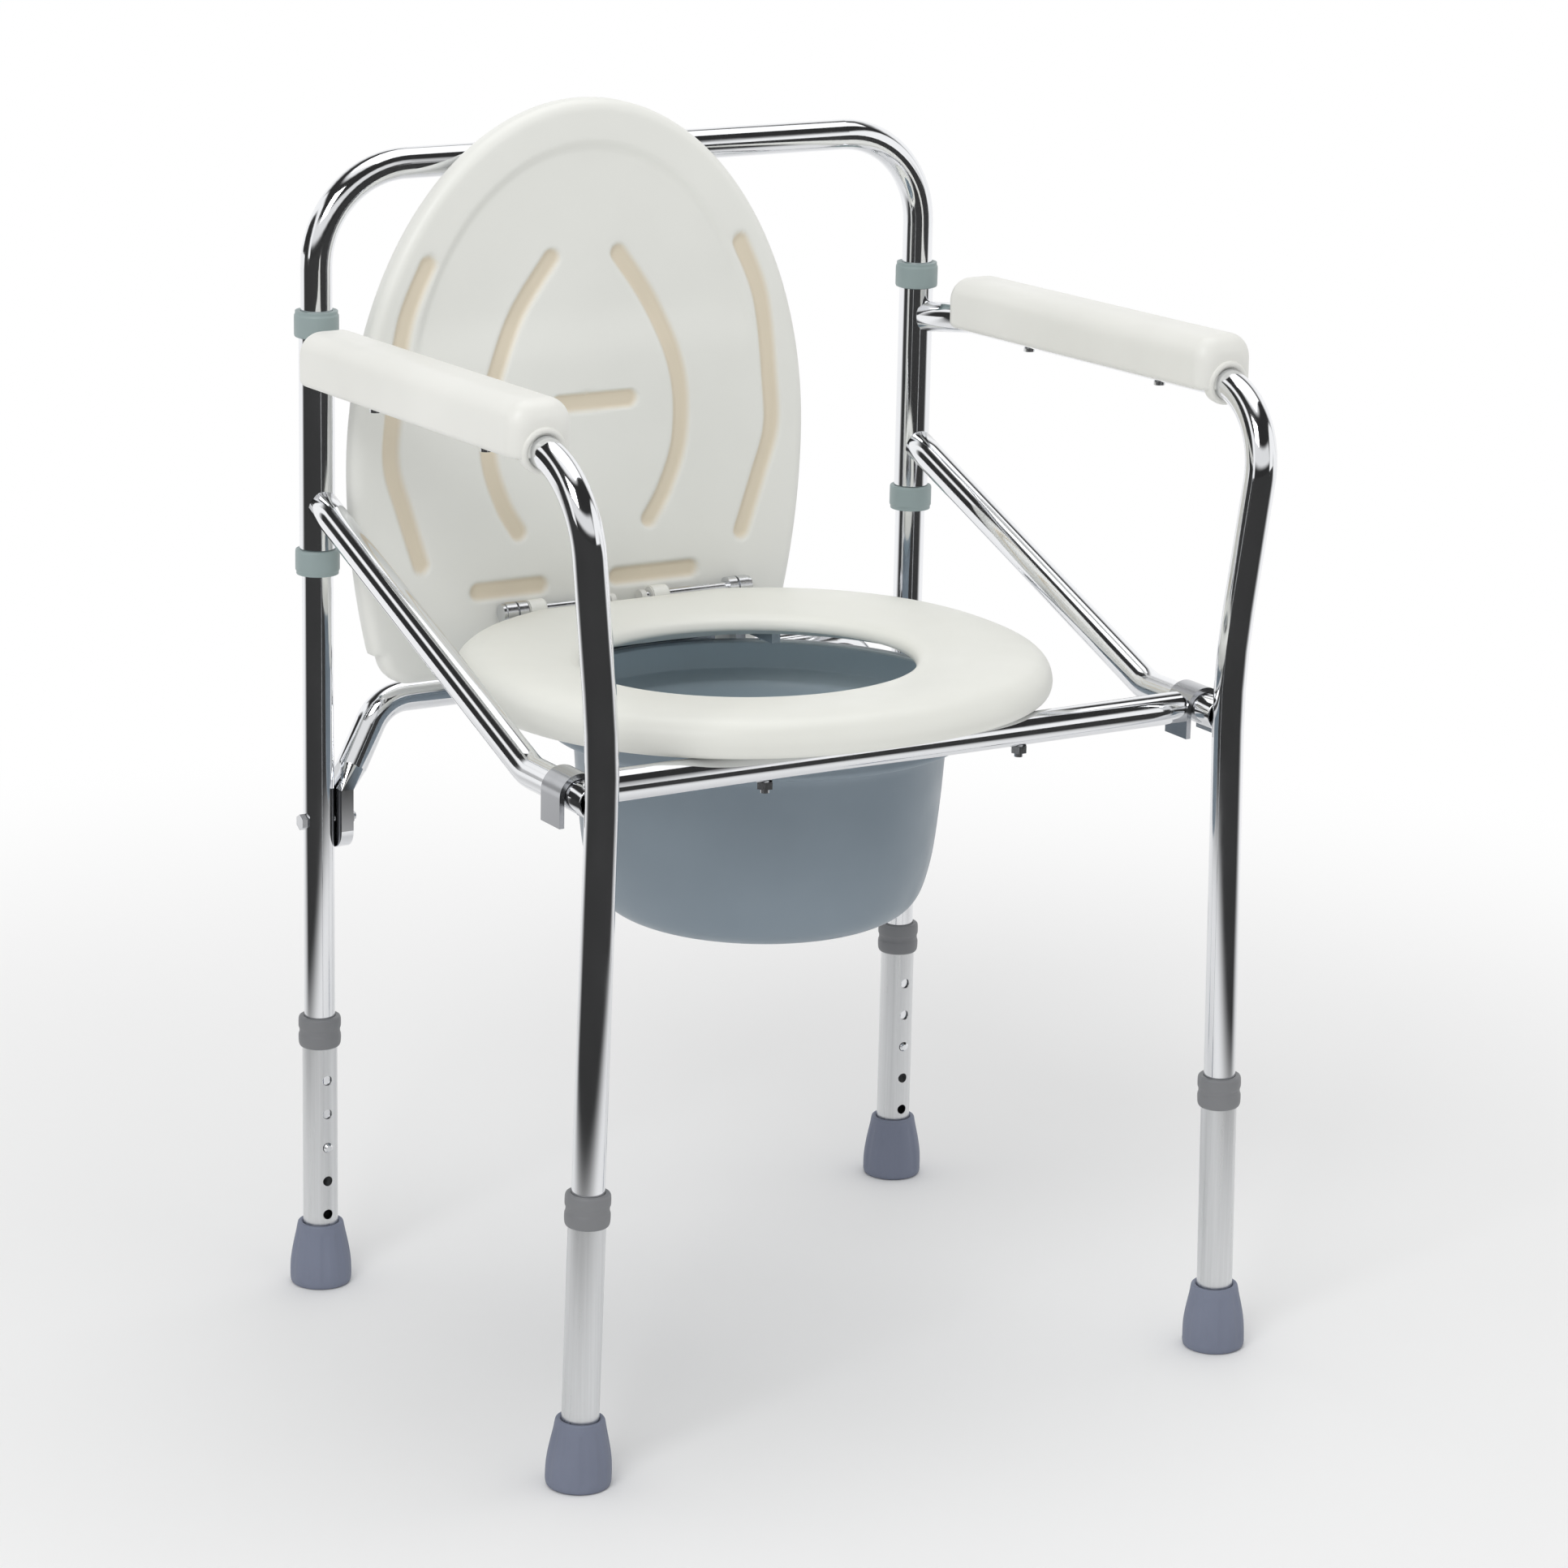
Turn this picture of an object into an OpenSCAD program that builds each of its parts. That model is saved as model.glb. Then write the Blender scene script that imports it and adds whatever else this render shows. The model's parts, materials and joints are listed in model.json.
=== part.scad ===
// Folding commode chair: bent-tube frame, lift-up seat, hinged lid, removable pail, telescopic legs.
// The chair stands on z = 0, faces -Y, and the origin is midway between its four feet.
// Left and right are the sitter's: +X is left.

/* [Frame] */
// Distance between the axes of the two back posts
post_span = 490; // [484:1:500]
// Distance between the back and front leg axes at the floor
base_depth = 408; // [404:1:416]
// Height of the back hoop's top tube axis
hoop_z = 809; // [800:1:830]
// Bend radius of the back hoop's corners
hoop_bend_r = 68; // [50:1:80]
// Outer diameter of the frame tubes
tube_d = 22; // [21.5:0.1:22]
// Wall thickness of the frame tubes
tube_wall = 1.2; // [1:0.1:1.5]

/* [Arms] */
// Height of the arm tube where it leaves the back sleeve
arm_root_z = 671; // [665:1:675]
// Sideways distance of the arm tube from the middle, at its back end
arm_x = 262; // [260:1:266]
// Width of an arm pad
pad_w = 46; // [42:1:50]
// Height of an arm pad above the arm tube's axis
pad_rise = 32; // [26:1:36]

/* [Legs] */
// Outer diameter of the telescopic leg extensions
ext_d = 25; // [25:0.1:25.4]
// Height of the snap buttons above the floor
button_z = 105; // [104:1:107]
// Distance between two height settings
hole_pitch = 25.4; // [24:0.1:25.4]
// Diameter of a rubber tip at the floor
tip_d = 44; // [40:1:46]
// Height of a rubber tip
tip_h = 46; // [42:1:47]

/* [Seat and lid] */
// Width of the seat ring
seat_w = 408; // [400:2:410]
// Depth of the seat ring
seat_depth = 377; // [369:2:379]
// Thickness of the seat ring
seat_t = 27.5; // [22:0.5:27.5]
// Width of the hole in the seat
hole_w = 236; // [220:2:240]
// Largest width of the lid
lid_w = 364; // [350:2:368]
// Height of the top of the standing lid
lid_top_z = 850; // [840:1:860]
// How far the standing lid is pushed sideways from the middle
lid_offset = 49; // [44:1:49]

/* [Pail] */
// Radius of the pail's rim flange
pail_flange_r = 157; // [155:0.5:157]
// Height of the pail
pail_h = 154; // [148:1:160]

/* [Hidden] */
$fn = 48;
gap = 0.05;
tube_r = tube_d / 2;
tube_in_r = tube_r - tube_wall;
seam_gap = 0.01;
seam_half = 0.8;
seam_skin = 0.35;
post_x = post_span / 2;
rear_y = base_depth / 2;
front_y = -base_depth / 2;

// Front leg: the tube leans in down to the knee, then out again to the floor
knee_z = 495;
knee_x = post_x - 1.3;
leg_lean = 0.0263;
leg_tilt = atan(leg_lean);
leg_foot_x = knee_x + knee_z * leg_lean;
inner_end_z = 92;
knee_bend_r = 200;

// Arm tube
sleeve_r = 12.5;
sleeve_bottom_z = 544;
sleeve_top_z = 693;
arm_back = [arm_x, rear_y - 50, arm_root_z + 5];
arm_front = [arm_x + 2.5, front_y - 7, arm_root_z + 13.5];
arm_bend_r = 57;
arm_points = [[post_x, rear_y, arm_root_z], arm_back, arm_front, [knee_x, front_y, knee_z],
    [leg_foot_x - inner_end_z * leg_lean, front_y, inner_end_z]];
arm_bends = [0, 55, arm_bend_r, knee_bend_r, 0];

// Side brace and the stub that the seat hooks rest on
stub_z = 460;
brace_root_z = 579.6;
brace_bend_y = rear_y - 313;
brace_points = [[post_x, rear_y, brace_root_z], [post_x, brace_bend_y, stub_z],
    [post_x, front_y, stub_z]];

// Rear cross tube and its flattened ends
cross_z = 430;
cross_corner_x = post_x - 49;
cross_end_x = post_x - 26;
cross_end_z = 384;
flat_t = 9.4;
flat_w = 28;
flat_x = post_x - tube_r - 0.1 - flat_t;
flat_top_z = 370;
bolt_z = 347;
bolt_r = 3;
hex_r = 5.8;

// Seat hinge line, shared by the seat and the lid
hinge_y = rear_y - 38;
hinge_z = 492;
pin_r = 4;
pin_inner_x = 12;
bracket_x = 91;
bracket_t = 8;
eye_r = 7.4;
lug_x = 82.5;
lug_t = 7;
bush_r = 5.5;
knuckle_r = 7.4;
knuckle_len = 12;
knuckle_mid_x = 25.5;
hinge_mid_x = -19;

// Seat
ring_bottom_z = 471.5;
ring_cx = -24;
ring_cy = rear_y - 224.5;
ring_back_y = hinge_y - 8.6;
hole_cx = -27;
hole_cy = rear_y - 224;
hole_depth = 210;
hole_lip = 12.5;
crossbar_y = rear_y - 368;
hook_in_r = tube_r + 0.4;
hook_out_r = 15;
hook_len = 25;
hook_tip_z = 440;
seat_bolt_x = 100;

// Pail and its rails
pail_cy = rear_y - 195;
pail_top_z = 457;
pail_wall = 2.5;
pail_band_r = 150;
rail_reach = 5;
rail_web = 2.5;
rail_low_z = 451.2;
rail_top_z = 471.2;
rail_lip_z = 453.7;
rail_tab_z = 468.7;
rail_half_front = 120;
rail_half_rear = 56;
rear_tab = 24;
front_tab = 11.5;

// Lid
lid_front_y = rear_y - 30;
lid_t = 18;
lid_bottom_z = 445;
lid_wide_z = 600;
lid_foot_half = 160;

// Leg extension
ext_r = ext_d / 2;
ext_in_r = tube_r + 0.5;
ext_top_z = 199;
ext_bottom_z = 6.1;
collar_bottom_z = 180;
collar_top_z = 202;
collar_r = 15;
button_r = 3.4;
button_proud = 2;

function unit(v) = v / norm(v);
function corner_angle(p, q, r) = acos(unit(q - p) * unit(r - q));
function cut_back(points, bends, i) = i == 0 || i == len(points) - 1 ? 0
    : bends[i] * tan(corner_angle(points[i - 1], points[i], points[i + 1]) / 2);

// Mirrors its children to the sitter's right when side is -1
module on_side(side)
    mirror([side < 0 ? 1 : 0, 0, 0]) children();

// Straight round bar from a to b
module bar(a, b, r)
    translate(a)
        rotate([0, acos(unit(b - a)[2]), atan2((b - a)[1], (b - a)[0])])
            cylinder(h = norm(b - a), r = r);

// Straight tube from a to b
module straight_tube(a, b, out_r, in_r) {
    d = unit(b - a);
    difference() {
        bar(a, b, out_r);
        bar(a - d, b + d, in_r);
    }
}

// Tube elbow at point q on the way from p to s
module elbow(p, q, s, bend_r) {
    d1 = unit(q - p);
    d2 = unit(s - q);
    angle = corner_angle(p, q, s);
    n = unit(d2 - (d2 * d1) * d1);
    centre = q - d1 * bend_r * tan(angle / 2) + n * bend_r;
    side_dir = cross(-n, d1);
    multmatrix([[-n[0], d1[0], side_dir[0], centre[0]], [-n[1], d1[1], side_dir[1], centre[1]],
        [-n[2], d1[2], side_dir[2], centre[2]], [0, 0, 0, 1]])
        rotate_extrude(angle = angle)
            translate([bend_r, 0])
                difference() {
                    circle(r = tube_r);
                    circle(r = tube_in_r);
                }
}

// Narrow ring inside the wall that ties a straight stretch to its elbow at point p
module seam(p, d)
    straight_tube(p - d * seam_half, p + d * seam_half, tube_r - seam_skin, tube_in_r + seam_skin);

// Bent tube through points, with one bend radius per point, open at both ends
module bent_tube(points, bends) {
    last = len(points) - 1;
    for (i = [0 : last - 1]) {
        d = unit(points[i + 1] - points[i]);
        start = points[i] + d * (i == 0 ? 0 : cut_back(points, bends, i));
        end = points[i + 1] - d * (i == last - 1 ? 0 : cut_back(points, bends, i + 1));
        straight_tube(start + d * (i == 0 ? 0 : seam_gap), end - d * (i == last - 1 ? 0 : seam_gap),
            tube_r, tube_in_r);
        if (i > 0)
            seam(start, d);
        if (i < last - 1)
            seam(end, d);
    }
    for (i = [1 : last - 1])
        elbow(points[i - 1], points[i], points[i + 1], bends[i]);
}

// Ring turned about Z from z0 to z1, with a chamfer on both outer edges
module turned_ring(in_r, out_r, z0, z1, chamfer)
    rotate_extrude()
        polygon([[in_r, z0], [out_r - chamfer, z0], [out_r, z0 + chamfer], [out_r, z1 - chamfer],
            [out_r - chamfer, z1], [in_r, z1]]);

module hexagon(r, h)
    cylinder(h = h, r = r, $fn = 6);

// Places its children at a leg: the child's Z axis is the leg's axis and +X faces the holes
module at_leg(side, front)
    on_side(side)
        translate(front ? [leg_foot_x, front_y, 0] : [post_x, rear_y, 0])
            rotate([0, front ? -leg_tilt : 0, 0])
                rotate([0, 0, front ? 90 : -90]) children();

module above_floor()
    intersection() {
        children();
        translate([-400, -400, 0]) cube([800, 800, 900]);
    }

// ---- fixed frame ----

module back_hoop() {
    points = [[-post_x, rear_y, inner_end_z], [-post_x, rear_y, hoop_z], [post_x, rear_y, hoop_z],
        [post_x, rear_y, inner_end_z]];
    color("gainsboro")
        difference() {
            bent_tube(points, [0, hoop_bend_r, hoop_bend_r, 0]);
            for (side = [-1, 1]) {
                translate([side * post_x - 15, rear_y, bolt_z])
                    rotate([0, 90, 0]) cylinder(h = 30, r = bolt_r + gap);
                at_leg(side, false)
                    translate([0, 0, button_z]) rotate([0, 90, 0])
                        cylinder(h = 15, r = button_r + gap);
            }
        }
}

module post_ring(side, z0, z1, out_r, chamfer)
    translate([side * post_x, rear_y, 0])
        turned_ring(tube_r + gap, out_r, z0, z1, chamfer);

module upper_collar(side)
    color([0.6, 0.66, 0.66]) post_ring(side, sleeve_top_z + 0.3, sleeve_top_z + 18.5, 15.5, 2);

module lower_collar(side)
    color([0.6, 0.66, 0.66]) post_ring(side, sleeve_bottom_z - 18, sleeve_bottom_z - 0.3, 15.5, 2);

module sleeve(side)
    color("gainsboro") post_ring(side, sleeve_bottom_z, sleeve_top_z, sleeve_r, 0.4);

module post_core(side)
    translate([side * post_x, rear_y, sleeve_bottom_z])
        cylinder(h = sleeve_top_z - sleeve_bottom_z, r = sleeve_r);

module arm_leg_tube(side)
    color("silver")
        difference() {
            on_side(side) bent_tube(arm_points, arm_bends);
            post_core(side);
            at_leg(side, true)
                translate([0, 0, button_z]) rotate([0, 90, 0])
                    cylinder(h = 15, r = button_r + gap);
            for (at = [0.25, 0.75])
                on_side(side) pad_screw_hole(at, 2 + gap);
        }

// Axis frame of the arm tube under the pad: -Y runs forward along the tube
module along_arm() {
    d = arm_front - arm_back;
    translate(arm_back)
        rotate([0, 0, atan2(d[0], -d[1])])
            rotate([-atan2(d[2], norm([d[0], d[1]])), 0, 0]) children();
}

pad_len = 320;
pad_start = 5;
pad_bore_flare = 16;

module pad_screw_hole(at, r)
    along_arm()
        translate([0, pad_start - pad_len * at, -tube_r - 1]) cylinder(h = 30, r = r);

// Stretch of the pad's bore, measured from the pad's back end
module pad_bore(from, to, r)
    translate([0, pad_start - from, 0]) rotate([90, 0, 0]) cylinder(h = to - from, r = r);

module pad_profile() {
    half = pad_w / 2;
    top_r = 13;
    low = -5;
    for (x = [-1, 1])
        translate([x * (half - top_r), pad_rise - top_r]) circle(r = top_r);
    translate([-half + top_r, low]) square([2 * (half - top_r), pad_rise - low]);
    translate([-half, low + 4]) square([2 * half, pad_rise - top_r - low - 4]);
    for (x = [-1, 1])
        translate([x * (half - 4), low + 4]) circle(r = 4);
    translate([-half + 4, low]) square([2 * half - 8, 8]);
}

module arm_pad(side)
    color("ivory")
        on_side(side)
            difference() {
                along_arm()
                    translate([0, pad_start, 0]) rotate([90, 0, 0])
                        linear_extrude(pad_len) pad_profile();
                along_arm() {
                    pad_bore(0, pad_len, tube_r + gap);
                    pad_bore(-1, pad_bore_flare, tube_r + 2);
                    pad_bore(pad_len - pad_bore_flare, pad_len + 1, tube_r + 2);
                }
                for (at = [0.25, 0.75])
                    pad_screw_hole(at, 2 + gap);
            }

module pad_screws()
    color("silver")
        for (side = [-1, 1], at = [0.25, 0.75])
            on_side(side) along_arm()
                translate([0, pad_start - pad_len * at, 0]) {
                    translate([0, 0, -tube_r - 0.5]) cylinder(h = 28, r = 2);
                    translate([0, 0, -tube_r - 2.5]) cylinder(h = 2.45, r = 4);
                }

module brace(side)
    color("gainsboro")
        difference() {
            on_side(side) bent_tube(brace_points, [0, 42, 0]);
            post_core(side);
            on_side(side) bar(arm_points[3], arm_points[4], tube_r);
        }

module rear_cross_tube() {
    points = [[-cross_end_x, rear_y, cross_end_z], [-cross_corner_x, rear_y, cross_z],
        [cross_corner_x, rear_y, cross_z], [cross_end_x, rear_y, cross_end_z]];
    color("gainsboro")
        difference() {
            union() {
                bent_tube(points, [0, 30, 30, 0]);
                for (side = [-1, 1])
                    on_side(side) flattened_end();
            }
            for (side = [-1, 1])
                translate([side * (flat_x + flat_t / 2) - 15, rear_y, bolt_z])
                    rotate([0, 90, 0]) cylinder(h = 30, r = bolt_r + gap);
        }
}

// Round-to-flat end of the rear cross tube, on the sitter's left
module flattened_end() {
    slope = atan2(cross_end_x - cross_corner_x, cross_z - cross_end_z);
    hull() {
        translate([cross_end_x, rear_y, cross_end_z]) rotate([0, -slope, 0])
            cylinder(h = 3, r = tube_r - 0.3, $fn = 32);
        translate([flat_x, rear_y - flat_w / 2, flat_top_z - 0.2]) cube([flat_t, flat_w, 0.2]);
    }
    translate([flat_x, rear_y, 0]) rotate([0, 90, 0])
        linear_extrude(flat_t) {
            translate([-flat_top_z, -flat_w / 2]) square([flat_top_z - bolt_z + 7, flat_w]);
            translate([-bolt_z + 7, 0]) circle(r = flat_w / 2);
        }
}

module cross_tube_bolts()
    color("silver")
        for (side = [-1, 1])
            on_side(side)
                translate([0, rear_y, bolt_z]) rotate([0, 90, 0]) {
                    translate([0, 0, post_x - 28]) cylinder(h = 39, r = bolt_r);
                    translate([0, 0, post_x + tube_r]) hexagon(hex_r, 4);
                }

module cross_tube_nuts()
    color("silver")
        for (side = [-1, 1])
            on_side(side)
                translate([flat_x - 5, rear_y, bolt_z]) rotate([0, 90, 0])
                    difference() {
                        hexagon(hex_r, 5);
                        translate([0, 0, -1]) cylinder(h = 7, r = bolt_r + gap);
                    }

// Mirrored about the middle of the hinge line
module at_hinge(side)
    translate([hinge_mid_x, 0, 0]) on_side(side) children();

// Arm clamped on the rear cross tube: it runs forward under the lid, then up to the hinge line
module hinge_bracket(side) {
    arm_top = 441;
    arm_low = 427;
    upright_y = hinge_y - 1.8;
    color("silver")
        at_hinge(side)
            translate([bracket_x, 0, 0]) rotate([90, 0, 90])
                linear_extrude(bracket_t)
                    difference() {
                        union() {
                            translate([rear_y, cross_z]) circle(r = 15);
                            translate([upright_y, arm_low])
                                square([rear_y - upright_y - 11.4, arm_top - arm_low]);
                            translate([upright_y, arm_low])
                                square([hinge_y + eye_r - upright_y, hinge_z - arm_low]);
                            translate([hinge_y, hinge_z]) circle(r = eye_r);
                        }
                        translate([rear_y, cross_z]) circle(r = tube_r + gap);
                        translate([hinge_y, hinge_z]) circle(r = pin_r + gap);
                    }
}

// Runs its children along X from x, on the hinge line
module on_hinge_line(x)
    translate([x, hinge_y, hinge_z]) rotate([0, 90, 0]) children();

module hinge_pins()
    color("silver")
        for (side = [-1, 1])
            at_hinge(side) {
                on_hinge_line(pin_inner_x)
                    cylinder(h = bracket_x + bracket_t + 0.2 - pin_inner_x, r = pin_r);
                on_hinge_line(bracket_x + bracket_t + 0.1) cylinder(h = 2.5, r = 6.5);
            }

module hinge_pin_caps()
    color("dimgray")
        for (side = [-1, 1])
            at_hinge(side) on_hinge_line(pin_inner_x - 1.5)
                difference() {
                    cylinder(h = 4, r = 5.2);
                    translate([0, 0, 1.5]) cylinder(h = 4, r = pin_r + gap);
                }

// ---- seat ----

module front_crossbar()
    color("gainsboro")
        difference() {
            translate([-post_x, crossbar_y, stub_z]) rotate([0, 90, 0])
                difference() {
                    cylinder(h = 2 * post_x, r = tube_r);
                    translate([0, 0, -1]) cylinder(h = 2 * post_x + 2, r = tube_in_r);
                }
            for (side = [-1, 1]) {
                translate([side * (post_x + 5) - 20, crossbar_y - 20, stub_z - 30]) cube([40, 40, 60]);
                translate([side * seat_bolt_x, crossbar_y, stub_z - 20]) cylinder(h = 40, r = bolt_r + gap);
            }
        }

// Saddle that drops over the stub of the side brace
module seat_hook(side)
    color("silver")
        on_side(side)
            translate([post_x, crossbar_y + hook_len / 2, 0]) rotate([90, 0, 0])
                linear_extrude(hook_len)
                    difference() {
                        union() {
                            translate([0, stub_z]) circle(r = hook_out_r);
                            translate([-hook_out_r, hook_tip_z])
                                square([2 * hook_out_r, stub_z - hook_tip_z]);
                        }
                        translate([0, stub_z]) circle(r = hook_in_r);
                        translate([-hook_in_r, hook_tip_z - 1])
                            square([2 * hook_in_r, stub_z - hook_tip_z + 1]);
                    }

module seat_bolts()
    color("silver")
        for (x = [-seat_bolt_x, seat_bolt_x])
            translate([x, crossbar_y, stub_z - tube_r - 8]) cylinder(h = 46, r = bolt_r);

module seat_nuts()
    color("silver")
        for (x = [-seat_bolt_x, seat_bolt_x])
            translate([x, crossbar_y, stub_z - tube_r - 5.1])
                difference() {
                    hexagon(hex_r, 5);
                    translate([0, 0, -1]) cylinder(h = 7, r = bolt_r + gap);
                }

// Crowned oval ring: its section is a rounded rectangle swept between the hole and the rim
ring_steps = 60;
section_steps = 16;
function soft(v, n) = sign(v) * pow(abs(v), 2 / n);
function rim_point(t) = [ring_cx + seat_w / 2 * soft(cos(t), 2.2),
    min(ring_back_y, ring_cy + seat_depth / 2 * soft(sin(t), 2.2))];
function hole_point(t) = [hole_cx + hole_w / 2 * cos(t), hole_cy + hole_depth / 2 * sin(t)];
// The underside rises towards the hole
function under_z(s) = ring_bottom_z + hole_lip * max(0, 1 - s / 0.45);
function ring_point(t, a) =
    let (s = 0.5 + 0.5 * soft(cos(a), 3.2), p = hole_point(t) * (1 - s) + rim_point(t) * s)
    [p[0], p[1], max(under_z(s), ring_bottom_z + seat_t / 2 + seat_t / 2 * soft(sin(a), 3.2))];

module seat_ring() {
    points = [for (i = [0 : ring_steps - 1], j = [0 : section_steps - 1])
        ring_point(360 * (i + 0.5) / ring_steps, 360 * (j + 0.5) / section_steps)];
    function at(i, j) = (i % ring_steps) * section_steps + (j % section_steps);
    faces = [for (i = [0 : ring_steps - 1], j = [0 : section_steps - 1], k = [0, 1])
        k == 0 ? [at(i, j), at(i, j + 1), at(i + 1, j + 1)]
            : [at(i, j), at(i + 1, j + 1), at(i + 1, j)]];
    color("white") polyhedron(points = points, faces = faces);
}

// Plate that joins the seat ring's underside to its hinge pin
module seat_hinge_lugs()
    color("silver")
        for (side = [-1, 1])
            at_hinge(side)
                translate([lug_x, 0, 0]) rotate([90, 0, 90])
                    linear_extrude(lug_t)
                        difference() {
                            union() {
                                translate([hinge_y, hinge_z]) circle(r = eye_r);
                                polygon([[hinge_y - eye_r, hinge_z], [hinge_y + eye_r - 2, hinge_z - 5],
                                    [hinge_y + 1, 470], [hinge_y - 6, 464.5], [hinge_y - 66, 464.5],
                                    [hinge_y - 66, ring_bottom_z - 0.2],
                                    [hinge_y - 8.4, ring_bottom_z - 0.2], [hinge_y - eye_r, 476]]);
                            }
                            translate([hinge_y, hinge_z]) circle(r = pin_r + gap);
                        }

module seat_lug_screws()
    color("dimgray")
        for (side = [-1, 1])
            at_hinge(side)
                translate([lug_x + lug_t / 2, hinge_y - 48, 463]) {
                    cylinder(h = 1.5, r = 3);
                    cylinder(h = 20, r = 1.8);
                }

// Channel along X that the pail's flange slides in; open towards -Y, with a tab under the seat
module rail_channel(half_len, tab)
    translate([-half_len, 0, 0]) rotate([90, 0, 90])
        linear_extrude(2 * half_len)
            polygon([[-rail_reach - rail_web - 1, rail_low_z], [0, rail_low_z], [0, rail_top_z],
                [-tab, rail_top_z], [-tab, rail_tab_z],
                [-rail_web, rail_tab_z], [-rail_web, rail_lip_z],
                [-rail_reach - rail_web - 1, rail_lip_z]]);

module rail_screw_holes(half_x, inset)
    for (x = [-half_x, half_x])
        translate([x, -inset, rail_tab_z - 1]) cylinder(h = 5, r = 1.8 + gap);

module rail_screws(half_x, inset)
    for (x = [-half_x, half_x])
        translate([x, -inset, rail_tab_z - 1.5]) {
            cylinder(h = 1.45, r = 3);
            cylinder(h = 17, r = 1.8);
        }

rail_outer = pail_flange_r + 1 + rail_web;

module pail_rail_rear()
    color("silver")
        translate([0, pail_cy + rail_outer, 0])
            difference() {
                rail_channel(rail_half_rear, rear_tab);
                rail_screw_holes(30, rear_tab - 6);
            }

module pail_rail_front()
    color("silver")
        translate([0, pail_cy - rail_outer, 0]) rotate([0, 0, 180])
            difference() {
                rail_channel(rail_half_front, front_tab);
                rail_screw_holes(95, front_tab - 4.5);
            }

module pail_rail_screws()
    color("dimgray") {
        translate([0, pail_cy + rail_outer, 0]) rail_screws(30, rear_tab - 6);
        translate([0, pail_cy - rail_outer, 0]) rotate([0, 0, 180])
            rail_screws(95, front_tab - 4.5);
    }

module pail() {
    band_low = pail_top_z - 23;
    bottom_z = pail_top_z - pail_h;
    w = pail_wall;
    color([0.5, 0.55, 0.6])
        translate([0, pail_cy, 0])
            rotate_extrude()
                polygon([[0, bottom_z], [88, bottom_z], [98, bottom_z + 2], [107, bottom_z + 6.5],
                    [113, bottom_z + 13], [118, bottom_z + 25], [123, bottom_z + 48],
                    [127, bottom_z + 85], [129, band_low - 19], [131, band_low - 6],
                    [pail_band_r, band_low], [pail_band_r, pail_top_z - 3],
                    [pail_flange_r, pail_top_z - 3], [pail_flange_r, pail_top_z],
                    [pail_band_r - w, pail_top_z], [pail_band_r - w, band_low + 1.5],
                    [131 - w, band_low - 4], [129 - w, band_low - 19], [127 - w, bottom_z + 85],
                    [123 - w, bottom_z + 49], [118 - w, bottom_z + 26], [111, bottom_z + 14.5],
                    [105.5, bottom_z + 8.5], [97.5, bottom_z + 4.5], [87, bottom_z + w],
                    [0, bottom_z + w]]);
}

// ---- lid ----

lid_steps = 24;
function lid_half(z) = z >= lid_wide_z
    ? lid_w / 2 * sqrt(max(0, 1 - pow((z - lid_wide_z) / (lid_top_z - lid_wide_z), 2)))
    : lid_w / 2 - (lid_w / 2 - lid_foot_half) * pow((lid_wide_z - z) / (lid_wide_z - lid_bottom_z), 2);
lid_corner_r = 24;
// Right half of the outline from the bottom corner up to the top
lid_right = concat(
    [for (a = [0 : 15 : 75])
        [lid_foot_half - lid_corner_r + lid_corner_r * sin(a),
            lid_bottom_z + lid_corner_r - lid_corner_r * cos(a)]],
    [for (i = [0 : 7]) let (z = lid_bottom_z + lid_corner_r
        + i * (lid_wide_z - lid_bottom_z - lid_corner_r) / 8) [lid_half(z), z]],
    [for (i = [0 : lid_steps - 1]) let (a = 90 * i / lid_steps)
        [lid_w / 2 * cos(a), lid_wide_z + (lid_top_z - lid_wide_z) * sin(a)]]);

module lid_outline()
    polygon(concat(lid_right, [[0, lid_top_z]],
        [for (i = [len(lid_right) - 1 : -1 : 0]) [-lid_right[i][0], lid_right[i][1]]]));

// Hollow moulded panel
module lid() {
    wall = 2.5;
    color("whitesmoke")
        translate([-lid_offset, 0, 0])
            difference() {
                translate([0, lid_front_y + lid_t, 0]) rotate([90, 0, 0])
                    linear_extrude(lid_t) lid_outline();
                translate([0, lid_front_y + lid_t - wall, 0]) rotate([90, 0, 0])
                    linear_extrude(lid_t - 2 * wall)
                        translate([0, 525]) cavity_outline();
                translate([0, lid_front_y + lid_t / 2, 500]) cylinder(h = 40, r = 2);
                translate([0, lid_front_y + lid_t / 2, 430]) cylinder(h = 80, r = 2);
            }
}

// Inside of the hollow panel, measured from its own bottom edge
module cavity_outline() {
    inset = 22;
    half = lid_w / 2 - inset;
    dome_z = lid_wide_z - 525;
    polygon(concat([[half, 0]],
        [for (i = [0 : 12]) let (a = 7.5 * i)
            [half * cos(a), dome_z + (lid_top_z - lid_wide_z - inset) * sin(a)]],
        [for (i = [11 : -1 : 0]) let (a = 7.5 * i)
            [-half * cos(a), dome_z + (lid_top_z - lid_wide_z - inset) * sin(a)]], [[-half, 0]]));
}

// Centre of each lid knuckle along X while the lid stands pushed sideways
knuckle_centres = [hinge_mid_x - knuckle_mid_x - lid_offset, hinge_mid_x + knuckle_mid_x];

module lid_hinge_arms()
    color("gainsboro")
        for (x = knuckle_centres)
            difference() {
                union() {
                    on_hinge_line(x - knuckle_len / 2) cylinder(h = knuckle_len, r = knuckle_r);
                    translate([x - knuckle_len / 2, lid_front_y - 3, 456])
                        cube([knuckle_len, 2.9, hinge_z - 456]);
                }
                on_hinge_line(x - knuckle_len / 2 - 1) cylinder(h = knuckle_len + 2, r = bush_r + gap);
            }

module lid_hinge_screws()
    color("dimgray")
        for (x = knuckle_centres, z = [461, 474])
            translate([x, lid_front_y - 3.05, z]) rotate([90, 0, 0]) {
                cylinder(h = 1.2, r = 3);
                translate([0, 0, -14]) cylinder(h = 14.5, r = 1.6);
            }

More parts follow.
